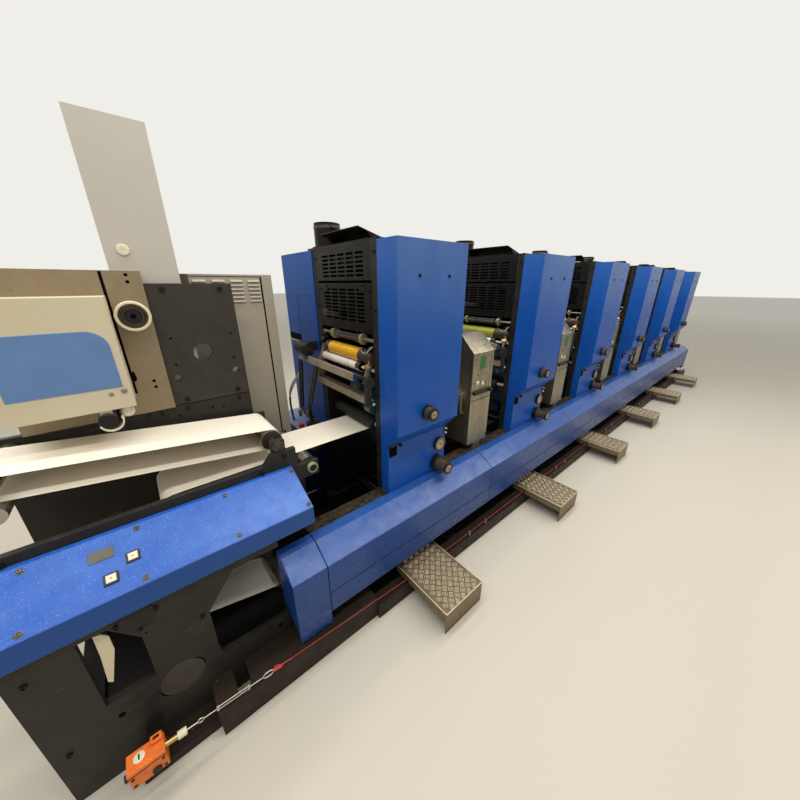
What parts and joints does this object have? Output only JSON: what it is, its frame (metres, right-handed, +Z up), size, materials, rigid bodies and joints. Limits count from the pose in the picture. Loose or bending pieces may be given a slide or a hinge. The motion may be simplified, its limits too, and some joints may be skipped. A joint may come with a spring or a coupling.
{
  "type": "offset printing press",
  "caption": "Narrow-web offset printing line: infeed, row of blue printing units with hinged guards and hand knobs, drying cabinets, steps and pull cord on one base.",
  "frame": {"origin": "centre of the machine's footprint, on the floor", "axes": "+X along the line, the way the paper travels through the units; +Y away from the operator, towards the gear side; +Z up"},
  "size_m": [8.65, 1.704, 2.26],
  "materials": {
    "blue_paint": "satin",
    "dark_frame": "matte",
    "black_paint": "satin",
    "taupe_metal": "satin",
    "cream_paint": "satin",
    "grey_paint": "satin",
    "orange_paint": "satin",
    "stainless": "satin",
    "tread_plate": "satin",
    "machined_steel": "satin",
    "bright_roller": "polished",
    "yellow_rubber": "satin",
    "black_rubber": "matte",
    "black_plastic": "satin",
    "paper": "matte",
    "red_cord": "satin"
  },
  "bodies": {
    "press": {"base_beams": "dark_frame", "cross_beams": "dark_frame", "plinth": "blue_paint", "steps": "tread_plate", "front_frames": "dark_frame", "rear_frames": "dark_frame", "tie_bars": "machined_steel", "tall_covers": "blue_paint", "lower_covers": "blue_paint", "roof_plates": "black_paint", "roof_flaps": "black_paint", "upper_guards": "black_paint", "exit_panels": "dark_frame", "gear_cabinets": "blue_paint", "exhaust_spigots": "black_paint", "metering_rollers": "bright_roller", "ink_trays": "machined_steel", "printing_cylinders": "machined_steel", "agitator_motors": "dark_frame", "ink_hoses": "black_rubber", "dials": "black_plastic", "drying_cabinets": "stainless", "infeed_side_plates": "dark_frame", "console": "blue_paint", "upper_back_plate": "dark_frame", "hub_plate": "taupe_metal", "web_cleaner": "cream_paint", "tower": "grey_paint", "switchgear_cabinet": "grey_paint", "guide_rollers": "machined_steel", "web": "paper", "switch_box": "orange_paint", "pull_cord": "red_cord", "cord_posts": "machined_steel"},
    "guard_1": {"guard_1": "black_paint"},
    "ink_roller_1": {"ink_roller_1": "yellow_rubber"},
    "upper_knob_1": {"upper_knob_1": "black_plastic"},
    "lower_knob_1": {"lower_knob_1": "black_plastic"},
    "guard_2": {"guard_2": "black_paint"},
    "ink_roller_2": {"ink_roller_2": "yellow_rubber"},
    "upper_knob_2": {"upper_knob_2": "black_plastic"},
    "lower_knob_2": {"lower_knob_2": "black_plastic"},
    "guard_3": {"guard_3": "black_paint"},
    "ink_roller_3": {"ink_roller_3": "yellow_rubber"},
    "upper_knob_3": {"upper_knob_3": "black_plastic"},
    "lower_knob_3": {"lower_knob_3": "black_plastic"},
    "guard_4": {"guard_4": "black_paint"},
    "ink_roller_4": {"ink_roller_4": "yellow_rubber"},
    "upper_knob_4": {"upper_knob_4": "black_plastic"},
    "lower_knob_4": {"lower_knob_4": "black_plastic"},
    "guard_5": {"guard_5": "black_paint"},
    "ink_roller_5": {"ink_roller_5": "yellow_rubber"},
    "upper_knob_5": {"upper_knob_5": "black_plastic"},
    "lower_knob_5": {"lower_knob_5": "black_plastic"},
    "guard_6": {"guard_6": "black_paint"},
    "ink_roller_6": {"ink_roller_6": "yellow_rubber"},
    "upper_knob_6": {"upper_knob_6": "black_plastic"},
    "lower_knob_6": {"lower_knob_6": "black_plastic"},
    "infeed_idler": {"infeed_idler": "machined_steel"},
    "small_idler": {"small_idler": "machined_steel"}
  },
  "joints": [
    {"name": "guard_1_hinge", "type": "hinge", "parent": "press", "child": "guard_1", "pos_m": [-2.896, 0.035, 1.678], "axis": [0, 1, 0], "range_deg": [0, 95]},
    {"name": "ink_roller_1_spin", "type": "hinge", "parent": "press", "child": "ink_roller_1", "pos_m": [-2.887, 0.035, 1.318], "axis": [0, 1, 0], "continuous": true},
    {"name": "upper_knob_1_turn", "type": "hinge", "parent": "press", "child": "upper_knob_1", "pos_m": [-2.7, -0.37, 1.033], "axis": [0, 1, 0], "continuous": true},
    {"name": "lower_knob_1_turn", "type": "hinge", "parent": "press", "child": "lower_knob_1", "pos_m": [-2.532, -0.37, 0.625], "axis": [0, 1, 0], "continuous": true},
    {"name": "guard_2_hinge", "type": "hinge", "parent": "press", "child": "guard_2", "pos_m": [-1.646, 0.035, 1.678], "axis": [0, 1, 0], "range_deg": [0, 95]},
    {"name": "ink_roller_2_spin", "type": "hinge", "parent": "press", "child": "ink_roller_2", "pos_m": [-1.637, 0.035, 1.318], "axis": [0, 1, 0], "continuous": true},
    {"name": "upper_knob_2_turn", "type": "hinge", "parent": "press", "child": "upper_knob_2", "pos_m": [-1.45, -0.37, 1.033], "axis": [0, 1, 0], "continuous": true},
    {"name": "lower_knob_2_turn", "type": "hinge", "parent": "press", "child": "lower_knob_2", "pos_m": [-1.282, -0.37, 0.625], "axis": [0, 1, 0], "continuous": true},
    {"name": "guard_3_hinge", "type": "hinge", "parent": "press", "child": "guard_3", "pos_m": [-0.396, 0.035, 1.678], "axis": [0, 1, 0], "range_deg": [0, 95]},
    {"name": "ink_roller_3_spin", "type": "hinge", "parent": "press", "child": "ink_roller_3", "pos_m": [-0.387, 0.035, 1.318], "axis": [0, 1, 0], "continuous": true},
    {"name": "upper_knob_3_turn", "type": "hinge", "parent": "press", "child": "upper_knob_3", "pos_m": [-0.2, -0.37, 1.033], "axis": [0, 1, 0], "continuous": true},
    {"name": "lower_knob_3_turn", "type": "hinge", "parent": "press", "child": "lower_knob_3", "pos_m": [-0.032, -0.37, 0.625], "axis": [0, 1, 0], "continuous": true},
    {"name": "guard_4_hinge", "type": "hinge", "parent": "press", "child": "guard_4", "pos_m": [0.854, 0.035, 1.678], "axis": [0, 1, 0], "range_deg": [0, 95]},
    {"name": "ink_roller_4_spin", "type": "hinge", "parent": "press", "child": "ink_roller_4", "pos_m": [0.863, 0.035, 1.318], "axis": [0, 1, 0], "continuous": true},
    {"name": "upper_knob_4_turn", "type": "hinge", "parent": "press", "child": "upper_knob_4", "pos_m": [1.05, -0.37, 1.033], "axis": [0, 1, 0], "continuous": true},
    {"name": "lower_knob_4_turn", "type": "hinge", "parent": "press", "child": "lower_knob_4", "pos_m": [1.218, -0.37, 0.625], "axis": [0, 1, 0], "continuous": true},
    {"name": "guard_5_hinge", "type": "hinge", "parent": "press", "child": "guard_5", "pos_m": [2.104, 0.035, 1.678], "axis": [0, 1, 0], "range_deg": [0, 95]},
    {"name": "ink_roller_5_spin", "type": "hinge", "parent": "press", "child": "ink_roller_5", "pos_m": [2.113, 0.035, 1.318], "axis": [0, 1, 0], "continuous": true},
    {"name": "upper_knob_5_turn", "type": "hinge", "parent": "press", "child": "upper_knob_5", "pos_m": [2.3, -0.37, 1.033], "axis": [0, 1, 0], "continuous": true},
    {"name": "lower_knob_5_turn", "type": "hinge", "parent": "press", "child": "lower_knob_5", "pos_m": [2.468, -0.37, 0.625], "axis": [0, 1, 0], "continuous": true},
    {"name": "guard_6_hinge", "type": "hinge", "parent": "press", "child": "guard_6", "pos_m": [3.354, 0.035, 1.678], "axis": [0, 1, 0], "range_deg": [0, 95]},
    {"name": "ink_roller_6_spin", "type": "hinge", "parent": "press", "child": "ink_roller_6", "pos_m": [3.363, 0.035, 1.318], "axis": [0, 1, 0], "continuous": true},
    {"name": "upper_knob_6_turn", "type": "hinge", "parent": "press", "child": "upper_knob_6", "pos_m": [3.55, -0.37, 1.033], "axis": [0, 1, 0], "continuous": true},
    {"name": "lower_knob_6_turn", "type": "hinge", "parent": "press", "child": "lower_knob_6", "pos_m": [3.718, -0.37, 0.625], "axis": [0, 1, 0], "continuous": true},
    {"name": "infeed_idler_spin", "type": "hinge", "parent": "press", "child": "infeed_idler", "pos_m": [-3.423, 0.03, 0.976], "axis": [0, 1, 0], "continuous": true},
    {"name": "small_idler_spin", "type": "hinge", "parent": "press", "child": "small_idler", "pos_m": [-3.281, 0.03, 0.8202], "axis": [0, 1, 0], "continuous": true}
  ]
}
